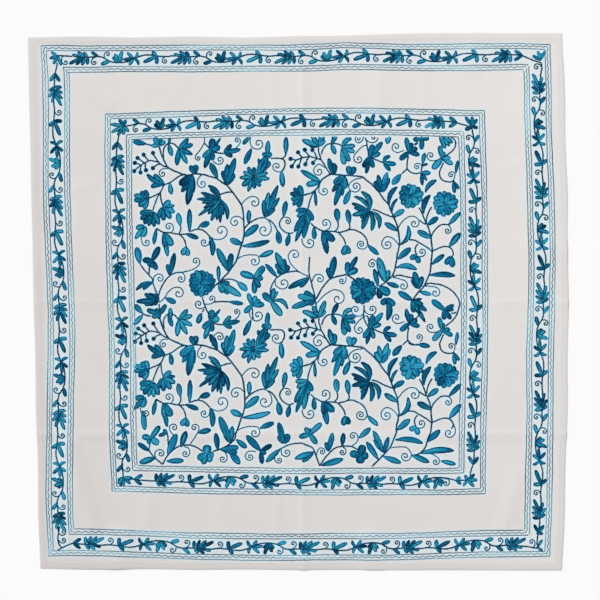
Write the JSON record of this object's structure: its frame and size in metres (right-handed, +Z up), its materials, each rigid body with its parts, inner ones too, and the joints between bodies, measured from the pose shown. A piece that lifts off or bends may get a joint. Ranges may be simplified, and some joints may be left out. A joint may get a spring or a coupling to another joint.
{
  "type": "embroidered tablecloth",
  "caption": "Square hemmed cotton table cover, laid flat, with floral chain-stitch embroidery: a vine field inside two narrow leafy borders.",
  "frame": {"origin": "on the surface that the cloth lies on, under the middle of the cloth", "axes": "+Z up out of the embroidered side, +Y towards the far edge as the cloth is shown, +X towards its right edge"},
  "size_m": [0.926, 0.92, 0.0044],
  "materials": {
    "cotton": "undyed plain-weave cotton, matt, lightly pressed",
    "embroidery_thread": "variegated blue embroidery thread in chain stitch, navy to turquoise, soft sheen"
  },
  "bodies": {
    "root": {"cloth": "cotton"}
  },
  "joints": []
}
